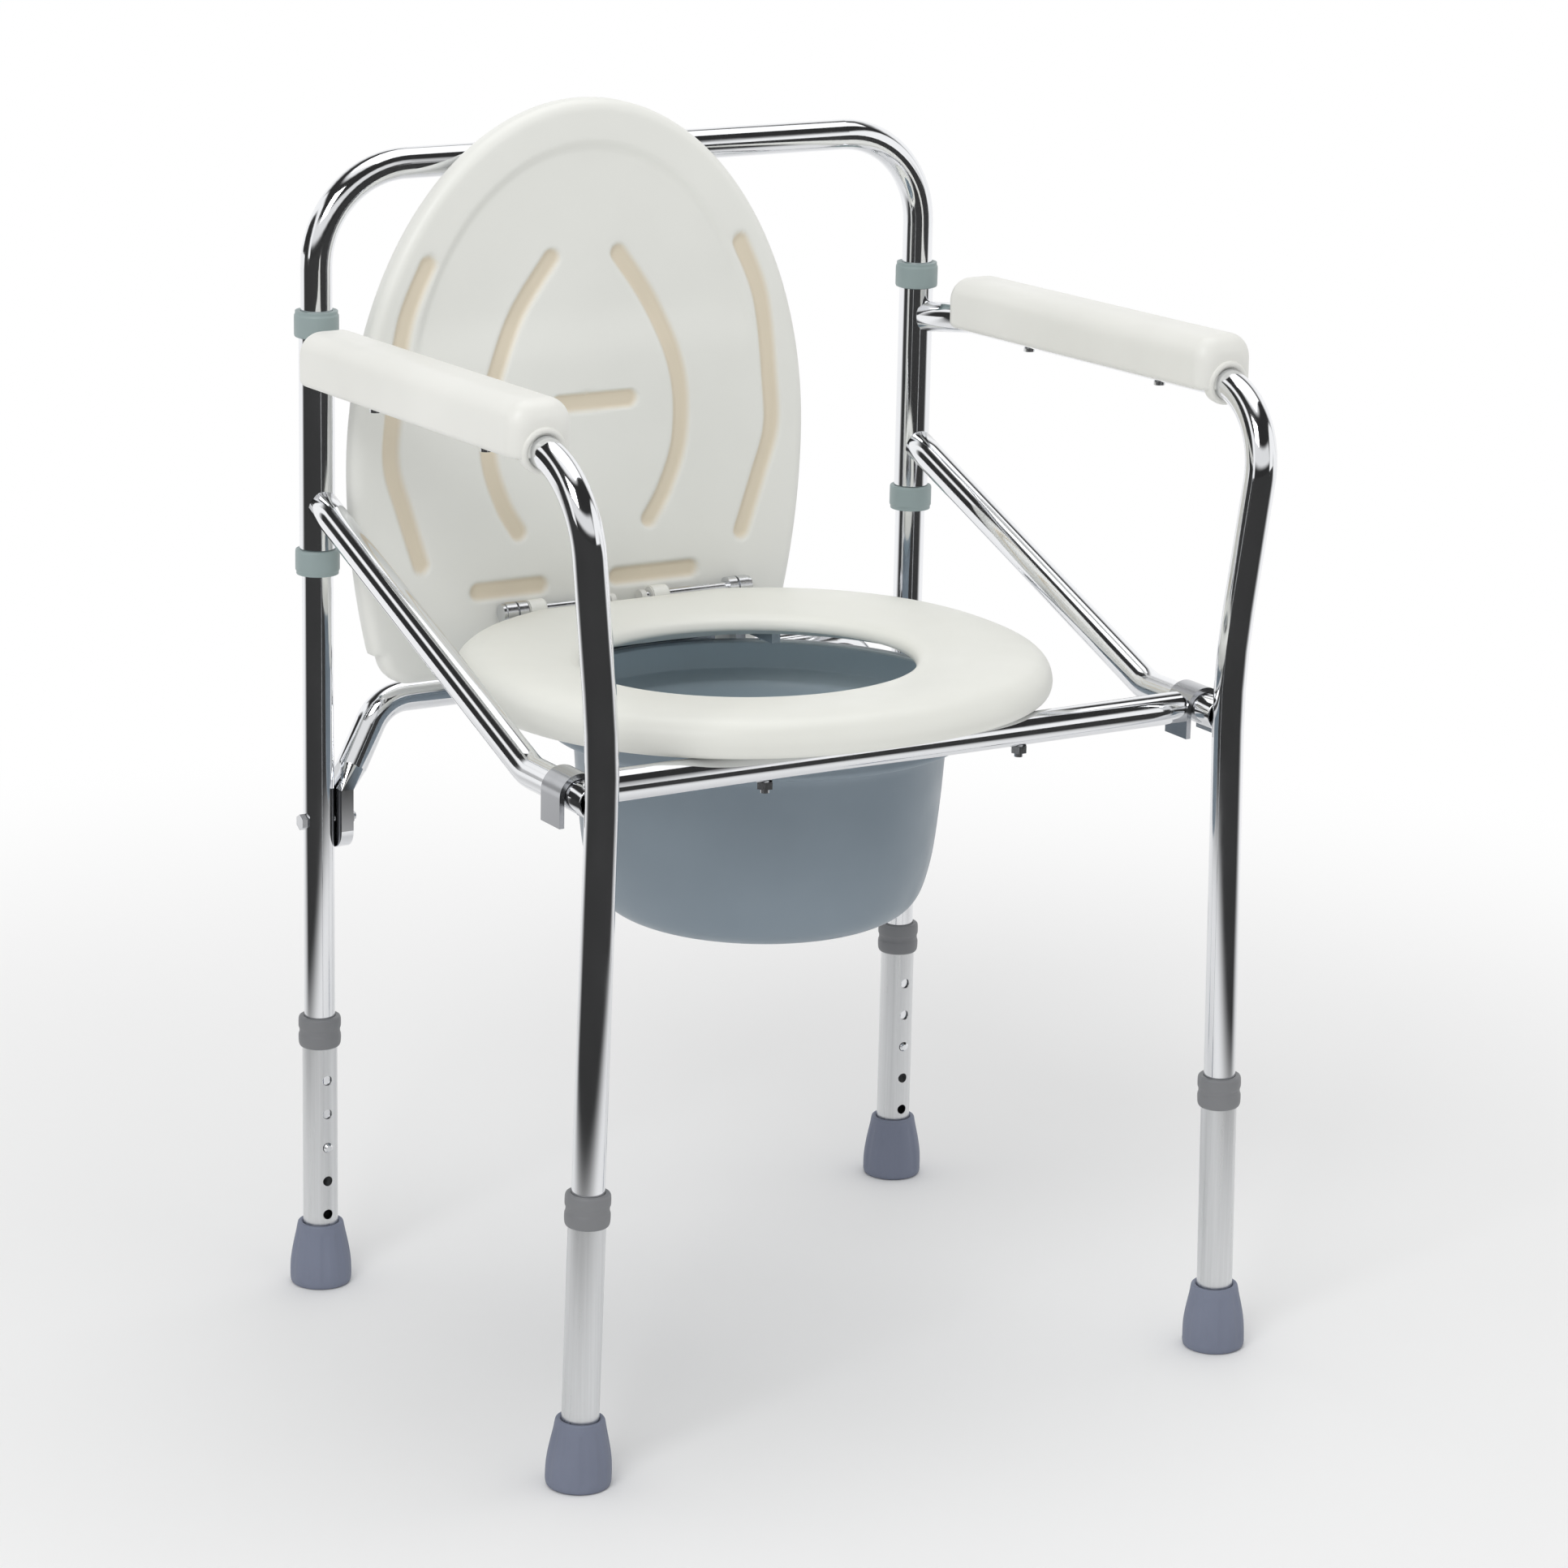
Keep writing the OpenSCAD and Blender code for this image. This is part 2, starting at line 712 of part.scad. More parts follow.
module lid_bushes()
    color("white")
        for (x = knuckle_centres)
            on_hinge_line(x - knuckle_len / 2 - 1)
                difference() {
                    union() {
                        cylinder(h = knuckle_len + 2, r = bush_r);
                        cylinder(h = 0.8, r = 6.8);
                        translate([0, 0, knuckle_len + 1.2]) cylinder(h = 0.8, r = 6.8);
                    }
                    translate([0, 0, -1]) cylinder(h = knuckle_len + 4, r = pin_r + gap);
                }

// ---- legs ----

module leg_extension(side, front)
    color("lightgray")
        at_leg(side, front)
            difference() {
                translate([0, 0, ext_bottom_z]) cylinder(h = ext_top_z - ext_bottom_z, r = ext_r);
                translate([0, 0, ext_bottom_z - 1])
                    cylinder(h = ext_top_z - ext_bottom_z + 2, r = ext_in_r);
                for (k = [-2 : 2])
                    translate([0, 0, button_z + k * hole_pitch]) rotate([0, 90, 0])
                        cylinder(h = 20, r = button_r + 0.3);
            }

// Bush on the extension's mouth that guides the frame tube
module leg_collar(side, front)
    color("gray")
        at_leg(side, front)
            rotate_extrude()
                polygon([[ext_r + gap, collar_bottom_z], [ext_r + 0.8, collar_bottom_z],
                    [collar_r, collar_bottom_z + 5], [collar_r, collar_top_z - 1],
                    [collar_r - 1, collar_top_z], [tube_r + gap, collar_top_z],
                    [tube_r + gap, ext_top_z + gap], [ext_r + gap, ext_top_z + gap]]);

module rubber_tip(side, front)
    color([0.48, 0.5, 0.57])
        above_floor()
            at_leg(side, front)
                rotate_extrude()
                    polygon([[0, -2], [tip_d / 2 - 1.5, -2], [tip_d / 2 - 0.7, 1], [tip_d / 2, 5],
                        [tip_d / 2, 10], [tip_d / 2 - 0.9, 20], [tip_d / 2 - 2.3, 29],
                        [tip_d / 2 - 4, 37], [tip_d / 2 - 5.5, tip_h - 1.5],
                        [tip_d / 2 - 6.5, tip_h], [ext_r + gap, tip_h], [ext_r + gap, 6],
                        [0, 6]]);

module leg_button(side, front)
    color("silver")
        at_leg(side, front)
            translate([0, 0, button_z]) rotate([0, 90, 0])
                rotate_extrude()
                    polygon([[0, 7], [4.6, 7], [4.6, 8.2], [button_r, 8.2],
                        [button_r, ext_r + button_proud - 1.2],
                        [button_r - 1.2, ext_r + button_proud], [0, ext_r + button_proud]]);

// Leaf springs bent double inside the frame tubes, one behind each button
module button_springs() {
    leaf = 0.8;
    rise = 30;
    back = -8.6;
    color("dimgray")
        for (side = [-1, 1], front = [false, true])
            at_leg(side, front)
                translate([0, 3, button_z]) rotate([90, 0, 0])
                    linear_extrude(6)
                        polygon([[6.9, -5], [6.9, 5], [0, rise], [-1.6, rise], [back, 0],
                            [back + leaf, 0], [-0.9, rise - 2.5], [6.9 - leaf, 4.5],
                            [6.9 - leaf, -5]]);
}

back_hoop();
upper_collar(1);  // upper_collar_left
upper_collar(-1);  // upper_collar_right
lower_collar(1);  // lower_collar_left
lower_collar(-1);  // lower_collar_right
sleeve(1);  // sleeve_left
sleeve(-1);  // sleeve_right
arm_leg_tube(1);  // arm_leg_tube_left
arm_leg_tube(-1);  // arm_leg_tube_right
brace(1);  // brace_left
brace(-1);  // brace_right
arm_pad(1);  // arm_pad_left
arm_pad(-1);  // arm_pad_right
pad_screws();
rear_cross_tube();
cross_tube_bolts();
cross_tube_nuts();
hinge_bracket(1);  // hinge_bracket_left
hinge_bracket(-1);  // hinge_bracket_right
hinge_pins();
hinge_pin_caps();
front_crossbar();
seat_hook(1);  // seat_hook_left
seat_hook(-1);  // seat_hook_right
seat_bolts();
seat_nuts();
seat_ring();
seat_hinge_lugs();
seat_lug_screws();
pail_rail_front();
pail_rail_rear();
pail_rail_screws();
pail();
lid();
lid_hinge_arms();
lid_hinge_screws();
lid_bushes();
leg_extension(1, false);  // leg_extension_rear_left
leg_extension(-1, false);  // leg_extension_rear_right
leg_extension(1, true);  // leg_extension_front_left
leg_extension(-1, true);  // leg_extension_front_right
leg_collar(1, false);  // leg_collar_rear_left
leg_collar(-1, false);  // leg_collar_rear_right
leg_collar(1, true);  // leg_collar_front_left
leg_collar(-1, true);  // leg_collar_front_right
rubber_tip(1, false);  // rubber_tip_rear_left
rubber_tip(-1, false);  // rubber_tip_rear_right
rubber_tip(1, true);  // rubber_tip_front_left
rubber_tip(-1, true);  // rubber_tip_front_right
leg_button(1, false);  // leg_button_rear_left
leg_button(-1, false);  // leg_button_rear_right
leg_button(1, true);  // leg_button_front_left
leg_button(-1, true);  // leg_button_front_right
button_springs();
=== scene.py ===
import json
import math

import bpy
from mathutils import Matrix, Vector

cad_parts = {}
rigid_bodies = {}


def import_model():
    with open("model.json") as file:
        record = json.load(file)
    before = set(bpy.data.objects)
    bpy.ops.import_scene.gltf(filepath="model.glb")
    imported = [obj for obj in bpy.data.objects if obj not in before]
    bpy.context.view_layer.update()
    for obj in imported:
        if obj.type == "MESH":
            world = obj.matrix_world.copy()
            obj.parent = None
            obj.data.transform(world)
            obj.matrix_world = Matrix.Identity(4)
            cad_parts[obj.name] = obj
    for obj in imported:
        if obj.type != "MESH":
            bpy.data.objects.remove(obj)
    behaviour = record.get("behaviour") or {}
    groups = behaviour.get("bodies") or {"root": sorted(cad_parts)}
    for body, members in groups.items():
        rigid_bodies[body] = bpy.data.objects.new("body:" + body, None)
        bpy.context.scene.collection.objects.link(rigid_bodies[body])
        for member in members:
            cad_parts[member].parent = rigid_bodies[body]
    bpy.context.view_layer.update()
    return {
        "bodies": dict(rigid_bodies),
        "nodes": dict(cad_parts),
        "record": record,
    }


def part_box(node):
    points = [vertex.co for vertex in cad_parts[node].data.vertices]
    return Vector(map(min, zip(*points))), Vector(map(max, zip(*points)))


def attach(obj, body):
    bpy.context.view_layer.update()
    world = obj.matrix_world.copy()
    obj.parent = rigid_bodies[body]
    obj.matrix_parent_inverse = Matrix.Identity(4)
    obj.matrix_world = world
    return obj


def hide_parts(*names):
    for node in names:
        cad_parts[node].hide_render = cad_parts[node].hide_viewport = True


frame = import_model()
NODES = frame["nodes"]

# Places read from the frame and the frame's own sizes, in metres
PAIL_LOW, PAIL_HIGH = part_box("pail")
TUBE_R = 0.011
TUBE_WALL = 0.0015
REAR_Y = 0.204
TO_CAMERA = (-0.52, -0.853, 0.0)
SLOTS = {s["node"]: s["material_slot"] for s in frame["record"]["subparts"]}


# ---------------------------------------------------------------- mesh helpers

def make_object(name, verts, faces, material):
    """A smooth-shaded mesh object made from points and faces."""
    mesh = bpy.data.meshes.new(name)
    mesh.from_pydata([tuple(v) for v in verts], [], faces)
    mesh.validate()
    mesh.shade_smooth()
    obj = bpy.data.objects.new(name, mesh)
    bpy.context.scene.collection.objects.link(obj)
    obj.data.materials.append(material)
    return obj


def fix_normals(obj):
    """Turns every face outwards."""
    import bmesh
    bm = bmesh.new()
    bm.from_mesh(obj.data)
    bmesh.ops.recalc_face_normals(bm, faces=bm.faces)
    bm.to_mesh(obj.data)
    bm.free()


def ring_faces(rings, per_ring, closed_rings=False):
    """Quads between rings of points; each ring is closed, and the last may join the first."""
    faces = []
    for i in range(rings if closed_rings else rings - 1):
        a, b = i * per_ring, ((i + 1) % rings) * per_ring
        for j in range(per_ring):
            k = (j + 1) % per_ring
            faces.append((a + j, a + k, b + k, b + j))
    return faces


def smooth_profile(points, per_span=6):
    """A Catmull-Rom curve through (r, z) points; a repeated point makes a sharp corner."""
    out = []
    for i in range(len(points) - 1):
        p0 = Vector(points[max(i - 1, 0)])
        p1 = Vector(points[i])
        p2 = Vector(points[i + 1])
        p3 = Vector(points[min(i + 2, len(points) - 1)])
        for k in range(per_span):
            t = k / per_span
            out.append(0.5 * ((2 * p1) + (p2 - p0) * t + (2 * p0 - 5 * p1 + 4 * p2 - p3) * t * t
                              + (3 * p1 - p0 - 3 * p2 + p3) * t ** 3))
    out.append(Vector(points[-1]))
    return out


def lathe(name, profile, origin, axis, material, steps=96):
    """A profile of (radius, height) points turned about an axis; ends on the axis are closed."""
    up = Vector(axis).normalized()
    side = up.orthogonal().normalized()
    other = up.cross(side)
    verts = []
    for r, h in profile:
        for j in range(steps):
            a = 2 * math.pi * j / steps
            verts.append(Vector(origin) + up * h + (side * math.cos(a) + other * math.sin(a)) * max(r, 1e-5))
    faces = ring_faces(len(profile), steps)
    if profile[0][0] < 1e-4:
        faces.append(tuple(reversed(range(steps))))
    if profile[-1][0] < 1e-4:
        last = (len(profile) - 1) * steps
        faces.append(tuple(last + j for j in range(steps)))
    obj = make_object(name, verts, faces, material)
    fix_normals(obj)
    return obj


def smoothstep(low, high, x):
    t = min(max((x - low) / (high - low), 0.0), 1.0)
    return t * t * (3 - 2 * t)


# ---------------------------------------------------------------- materials

def new_material(name):
    """A material with its node tree, principled shader and object coordinates."""
    mat = bpy.data.materials.new(name)
    mat.use_nodes = True
    tree = mat.node_tree
    shader = tree.nodes["Principled BSDF"]
    coord = tree.nodes.new("ShaderNodeTexCoord").outputs["Object"]
    return mat, tree, shader, coord


def noise(tree, coord, scale, detail=4.0, stretch=(1, 1, 1)):
    """Noise of a given scale, stretched along an axis; gives its factor."""
    mapping = tree.nodes.new("ShaderNodeMapping")
    mapping.inputs["Scale"].default_value = stretch
    tree.links.new(coord, mapping.inputs["Vector"])
    tex = tree.nodes.new("ShaderNodeTexNoise")
    tex.inputs["Scale"].default_value = scale
    tex.inputs["Detail"].default_value = detail
    tree.links.new(mapping.outputs["Vector"], tex.inputs["Vector"])
    return tex.outputs["Fac"]


def ramp(tree, fac, low, high, pos_low=0.3, pos_high=0.7):
    """Maps a factor to a colour or a grey between low and high."""
    node = tree.nodes.new("ShaderNodeValToRGB")
    node.color_ramp.elements[0].position = pos_low
    node.color_ramp.elements[1].position = pos_high
    node.color_ramp.elements[0].color = (*low, 1) if hasattr(low, "__len__") else (low, low, low, 1)
    node.color_ramp.elements[1].color = (*high, 1) if hasattr(high, "__len__") else (high, high, high, 1)
    tree.links.new(fac, node.inputs["Fac"])
    return node.outputs["Color"]


def bump(tree, shader, height, strength, distance):
    node = tree.nodes.new("ShaderNodeBump")
    node.inputs["Strength"].default_value = strength
    node.inputs["Distance"].default_value = distance
    tree.links.new(height, node.inputs["Height"])
    tree.links.new(node.outputs["Normal"], shader.inputs["Normal"])


def chrome(name, tint, rough_low, rough_high):
    """Bright plated tube with faint wiping marks and fingerprints."""
    mat, tree, shader, coord = new_material(name)
    shader.inputs["Metallic"].default_value = 1.0
    cloud = noise(tree, coord, 9.0, 3.0)
    tree.links.new(ramp(tree, cloud, [c * 0.96 for c in tint], tint), shader.inputs["Base Color"])
    wipe = noise(tree, coord, 60.0, 6.0, (1, 1, 0.25))
    tree.links.new(ramp(tree, wipe, rough_low, rough_high), shader.inputs["Roughness"])
    bump(tree, shader, noise(tree, coord, 25.0, 2.0), 0.03, 0.0004)
    return mat


def brushed(name, tint, rough_low, rough_high, stretch):
    """Satin metal with fine drawn lines along one axis."""
    mat, tree, shader, coord = new_material(name)
    shader.inputs["Metallic"].default_value = 1.0
    lines = noise(tree, coord, 350.0, 5.0, stretch)
    tree.links.new(ramp(tree, lines, [c * 0.85 for c in tint], tint), shader.inputs["Base Color"])
    tree.links.new(ramp(tree, lines, rough_low, rough_high), shader.inputs["Roughness"])
    bump(tree, shader, lines, 0.08, 0.0002)
    return mat


def moulded(name, colour, darker, rough, grain_scale, grain, coat=0.0):
    """Moulded plastic or rubber: slow colour drift, fine surface grain and uneven gloss."""
    mat, tree, shader, coord = new_material(name)
    drift = noise(tree, coord, 7.0, 4.0)
    tree.links.new(ramp(tree, drift, darker, colour), shader.inputs["Base Color"])
    gloss = noise(tree, coord, 40.0, 5.0)
    tree.links.new(ramp(tree, gloss, rough - 0.05, rough + 0.06), shader.inputs["Roughness"])
    bump(tree, shader, noise(tree, coord, grain_scale, 3.0), grain, 0.0003)
    shader.inputs["Coat Weight"].default_value = coat
    shader.inputs["Coat Roughness"].default_value = 0.2
    return mat


CHROME = chrome("chrome_tube", (0.86, 0.87, 0.89), 0.05, 0.12)
PLATED = chrome("plated_steel", (0.72, 0.73, 0.75), 0.16, 0.28)
HOOK = chrome("hook_steel", (0.5, 0.51, 0.53), 0.14, 0.24)
SPRING = brushed("spring_steel", (0.4, 0.4, 0.42), 0.25, 0.4, (1, 1, 0.1))
ALUMINIUM = brushed("extension_aluminium", (0.78, 0.79, 0.8), 0.26, 0.4, (1, 1, 0.02))
COLLAR_GREEN = moulded("collar_gray_green", (0.32, 0.39, 0.39), (0.27, 0.34, 0.34), 0.45, 900, 0.15)
COLLAR_GRAY = moulded("collar_gray", (0.22, 0.225, 0.235), (0.18, 0.185, 0.195), 0.5, 900, 0.15)
RUBBER = moulded("tip_rubber", (0.215, 0.24, 0.32), (0.165, 0.185, 0.25), 0.6, 700, 0.3)
PAD = moulded("pad_white", (0.82, 0.82, 0.78), (0.77, 0.77, 0.73), 0.38, 60, 0.012)
SEAT = moulded("seat_white", (0.81, 0.815, 0.765), (0.765, 0.77, 0.72), 0.38, 60, 0.012)
NYLON = moulded("nylon_white", (0.7, 0.7, 0.67), (0.62, 0.62, 0.59), 0.45, 900, 0.1)
PAIL = moulded("pail_blue_gray", (0.235, 0.288, 0.335), (0.205, 0.255, 0.3), 0.36, 300, 0.04)


def paint_lit_inside(mat, colour):
    """Mixes in a paler colour, painted light, where the mesh carries its own inside value."""
    tree = mat.node_tree
    shader = tree.nodes["Principled BSDF"]
    old = shader.inputs["Base Color"].links[0].from_socket
    inside = tree.nodes.new("ShaderNodeAttribute")
    inside.attribute_name = "inside"
    mix = tree.nodes.new("ShaderNodeMix")
    mix.data_type = "RGBA"
    tree.links.new(inside.outputs["Fac"], mix.inputs[0])
    tree.links.new(old, mix.inputs[6])
    mix.inputs[7].default_value = (*colour, 1)
    tree.links.new(mix.outputs[2], shader.inputs["Base Color"])


# Painted light: the pail's inside is a paler copy of its blue, as if lit from above
paint_lit_inside(PAIL, (0.50, 0.585, 0.64))


def lid_material():
    """Off-white moulding whose grooves get a painted beige shade from the mesh's own groove value."""
    mat, tree, shader, coord = new_material("lid_white")
    drift = ramp(tree, noise(tree, coord, 6.0, 3.0), (0.79, 0.795, 0.755), (0.84, 0.845, 0.805))
    groove = tree.nodes.new("ShaderNodeAttribute")
    groove.attribute_name = "groove"
    mix = tree.nodes.new("ShaderNodeMix")
    mix.data_type = "RGBA"
    tree.links.new(groove.outputs["Fac"], mix.inputs[0])
    tree.links.new(drift, mix.inputs[6])
    # Painted shade: the beige laid into the grooves
    mix.inputs[7].default_value = (0.76, 0.68, 0.54, 1)
    tree.links.new(mix.outputs[2], shader.inputs["Base Color"])
    tree.links.new(ramp(tree, noise(tree, coord, 40.0, 5.0), 0.34, 0.44), shader.inputs["Roughness"])
    bump(tree, shader, noise(tree, coord, 500.0, 3.0), 0.05, 0.0003)
    return mat


LID = lid_material()

SLOT_MATERIALS = {
    "chrome_tube": CHROME, "plated_steel": PLATED, "spring_steel": SPRING, "button_steel": CHROME,
    "collar_gray_green": COLLAR_GREEN, "collar_gray": COLLAR_GRAY, "extension_aluminium": ALUMINIUM,
    "tip_rubber": RUBBER, "pad_white": PAD, "seat_white": SEAT, "lid_white": LID,
    "nylon_white": NYLON, "pail_blue_gray": PAIL,
}


def dress_cad_nodes():
    """Gives every CAD node the material of its slot; the hooks are a darker steel."""
    for name, obj in NODES.items():
        obj.data.materials.clear()
        obj.data.materials.append(HOOK if name.startswith("seat_hook") else SLOT_MATERIALS[SLOTS[name]])
        obj.data.shade_smooth()
        # A bevel would dent the reflections along these long smooth tubes
        if name in ("back_hoop", "front_crossbar"):
            continue
        edges = obj.modifiers.new("soft_edges", "BEVEL")
        edges.width = 0.0003
        edges.segments = 2
        edges.limit_method = "ANGLE"
        edges.angle_limit = math.radians(35)
        edges.harden_normals = True


# ---------------------------------------------------------------- pieces

def stand_in(piece, node):
    """The piece takes a CAD node's place and body, and the node is hidden."""
    body = next(b for b, o in frame["bodies"].items() if o == NODES[node].parent)
    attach(piece, body)
    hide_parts(node)


def closed_curve(points, per_span=4):
    """A closed Catmull-Rom curve through points of any size."""
    out, n = [], len(points)
    for i in range(n):
        p0, p1, p2, p3 = (Vector(points[(i + k) % n]) for k in (-1, 0, 1, 2))
        for k in range(per_span):
            t = k / per_span
            out.append(0.5 * ((2 * p1) + (p2 - p0) * t + (2 * p0 - 5 * p1 + 4 * p2 - p3) * t * t
                              + (3 * p1 - p0 - 3 * p2 + p3) * t ** 3))
    return out


def power(v, n):
    return math.copysign(abs(v) ** (2 / n), v)


def seat_ring():
    """Crowned oval seat: dished towards the hole, with a rounded inner lip and a soft outer edge."""
    rim_x, rim_y, half_w, half_d, back_y = -0.024, REAR_Y - 0.2245, 0.204, 0.1885, REAR_Y - 0.0466
    hole_x, hole_y, hole_w, hole_d = -0.027, REAR_Y - 0.224, 0.118, 0.105
    low = 0.4715
    # (from, distance in mm, height in mm): from the hole's edge, across the middle, from the rim
    section = [("hole", 3, 11.9), ("hole", 0.8, 12.6), ("hole", 0, 14.2), ("hole", 0.5, 16.6),
               ("hole", 2.2, 19.0), ("hole", 5.5, 21.0), ("hole", 12, 23.0), ("mid", 0.36, 25.2),
               ("mid", 0.5, 26.6),
               ("mid", 0.64, 27.4), ("mid", 0.76, 27.0), ("rim", 11, 25), ("rim", 5.5, 21.5),
               ("rim", 1.8, 16.5), ("rim", 0, 10), ("rim", 0.3, 5), ("rim", 2, 1.6), ("rim", 5, 0.1),
               ("rim", 12, 0), ("mid", 0.5, 0), ("mid", 0.42, 0.6), ("mid", 0.3, 4.0)]
    steps = 240
    verts, per_ring = [], 0
    for i in range(steps):
        a = 2 * math.pi * i / steps
        hole = Vector((hole_x + hole_w * math.cos(a), hole_y + hole_d * math.sin(a)))
        rim = Vector((rim_x + half_w * power(math.cos(a), 2.2),
                      min(back_y, rim_y + half_d * power(math.sin(a), 2.2))))
        span = (rim - hole).length * 1000
        points = []
        for kind, d, h in section:
            f = {"hole": d / span, "mid": d, "rim": 1 - d / span}[kind]
            points.append((f, h))
        curve = closed_curve(points, 4)
        per_ring = len(curve)
        for f, h in curve:
            p = hole.lerp(rim, f)
            verts.append((p.x, p.y, low + max(h, 0) / 1000))
    obj = make_object("seat_moulding", verts, ring_faces(steps, per_ring, True), SEAT)
    fix_normals(obj)
    stand_in(obj, "seat_ring")


def even_points(points, count):
    """Points spaced evenly along a closed line."""
    closed = points + [points[0]]
    lengths = [0.0]
    for p, q in zip(closed, closed[1:]):
        lengths.append(lengths[-1] + (q - p).length)
    out, k = [], 0
    for i in range(count):
        want = lengths[-1] * i / count
        while lengths[k + 1] < want:
            k += 1
        t = (want - lengths[k]) / max(lengths[k + 1] - lengths[k], 1e-9)
        out.append(closed[k].lerp(closed[k + 1], t))
    return out


def lid():
    """Moulded lid standing upright: rounded edges, a stepped oval rim and shallow grooves with painted beige
    shade.
    """
    from mathutils.kdtree import KDTree
    centre_x, front_y, thick = -0.049, REAR_Y - 0.030, 0.018
    half_w, wide_z, top_z, low_z, foot, corner = 0.182, 0.600, 0.850, 0.445, 0.160, 0.024

    def half_width(z):
        return half_w - (half_w - foot) * ((wide_z - z) / (wide_z - low_z)) ** 2

    right = [Vector((foot - corner + corner * math.sin(a), low_z + corner - corner * math.cos(a)))
             for a in (math.radians(7.5 * i) for i in range(12))]
    right += [Vector((half_width(z), z)) for z in (low_z + corner + (wide_z - low_z - corner) * i / 30
                                                   for i in range(30))]
    right += [Vector((half_w * math.cos(a), wide_z + (top_z - wide_z) * math.sin(a)))
              for a in (math.radians(0.75 * i) for i in range(120))]
    outline = right + [Vector((0, top_z))] + [Vector((-p.x, p.y)) for p in reversed(right)]
    steps = 420
    outline = even_points(outline, steps)
    edge = KDTree(steps * 4)
    for i, p in enumerate(even_points(outline, steps * 4)):
        edge.insert((p.x, p.y, 0), i)
    edge.balance()

    # Groove centre lines: half-way x and height, in mm from the lid's middle line
    arcs = [[(125, 742), (143, 700), (152, 635), (153, 603), (143, 570), (130, 531)],
            [(27, 740), (55, 700), (75, 650), (77, 604), (66, 569), (53, 547)]]
    lines = [[(s * x, z) for x, z in arc] for arc in arcs for s in (-1, 1)]
    lines += [[(-21, 636), (35, 636)], [(-85, 507), (-36, 507)], [(27, 507), (87, 507)]]
    samples = []
    for line in lines:
        curve = smooth_profile(line, 60) if len(line) > 2 else [
            Vector(line[0]).lerp(Vector(line[1]), i / 60) for i in range(61)]
        samples += [(p.x / 1000, p.y / 1000, 0) for p in curve]
    grooves = KDTree(len(samples))
    for i, p in enumerate(samples):
        grooves.insert(p, i)
    grooves.balance()

    def groove(x, z):
        d = grooves.find((x, z, 0))[2]
        return 1 - smoothstep(0.0042, 0.0082, d)

    def recess(x, z):
        """Depth of the field inside the oval rim, which fades out low down."""
        inner = math.hypot(x / 0.137, (z - 0.640) / 0.178)
        step = 1 - smoothstep(0.975, 1.025, inner)
        return 0.0032 * step * smoothstep(0.665, 0.705, z)

    def rounding(d, radius):
        return 0.0 if d >= radius else radius - math.sqrt(max(radius ** 2 - (radius - d) ** 2, 0))

    shares = [0.0] + [0.94 * (i / 110) ** 0.92 for i in range(1, 111)]
    shares += [0.95, 0.958, 0.966, 0.973, 0.979, 0.985, 0.990, 0.994, 0.997, 0.999, 1.0]
    middle = Vector((0, 0.640))
    verts, groove_shade = [], []

    def add_ring(share, back):
        for p in outline:
            q = middle.lerp(p, share)
            d = edge.find((q.x, q.y, 0))[2] if share > 0.9 else 1.0
            if share > 0.9999:
                d = 0.0
            g = 0.0
            if back:
                from_edge = edge.find((q.x, q.y, 0))[2]
                hollow = 0.0015 * smoothstep(0.016, 0.022, from_edge)
                y = front_y + thick - rounding(d, 0.006) - hollow
            else:
                # The groove value sinks the surface and also sets the grooves' painted shade
                g = groove(q.x, q.y)
                y = front_y + rounding(d, 0.008) + recess(q.x, q.y) + 0.0032 * g
            verts.append((centre_x + q.x, y, q.y))
            groove_shade.append(g)

    for share in shares:
        add_ring(share, False)
    back_shares = [1.0, 0.999, 0.997, 0.994, 0.99, 0.984, 0.976, 0.965, 0.95, 0.93, 0.915, 0.90, 0.89,
                   0.88, 0.87, 0.85, 0.8, 0.6, 0.3, 0.0]
    for share in back_shares:
        add_ring(share, True)
    obj = make_object("lid_moulding", verts, ring_faces(len(shares) + len(back_shares), steps), LID)
    # The groove attribute carries the painted beige shade of the grooves
    layer = obj.data.attributes.new("groove", "FLOAT", "POINT")
    layer.data.foreach_set("value", groove_shade)
    fix_normals(obj)
    stand_in(obj, "lid")


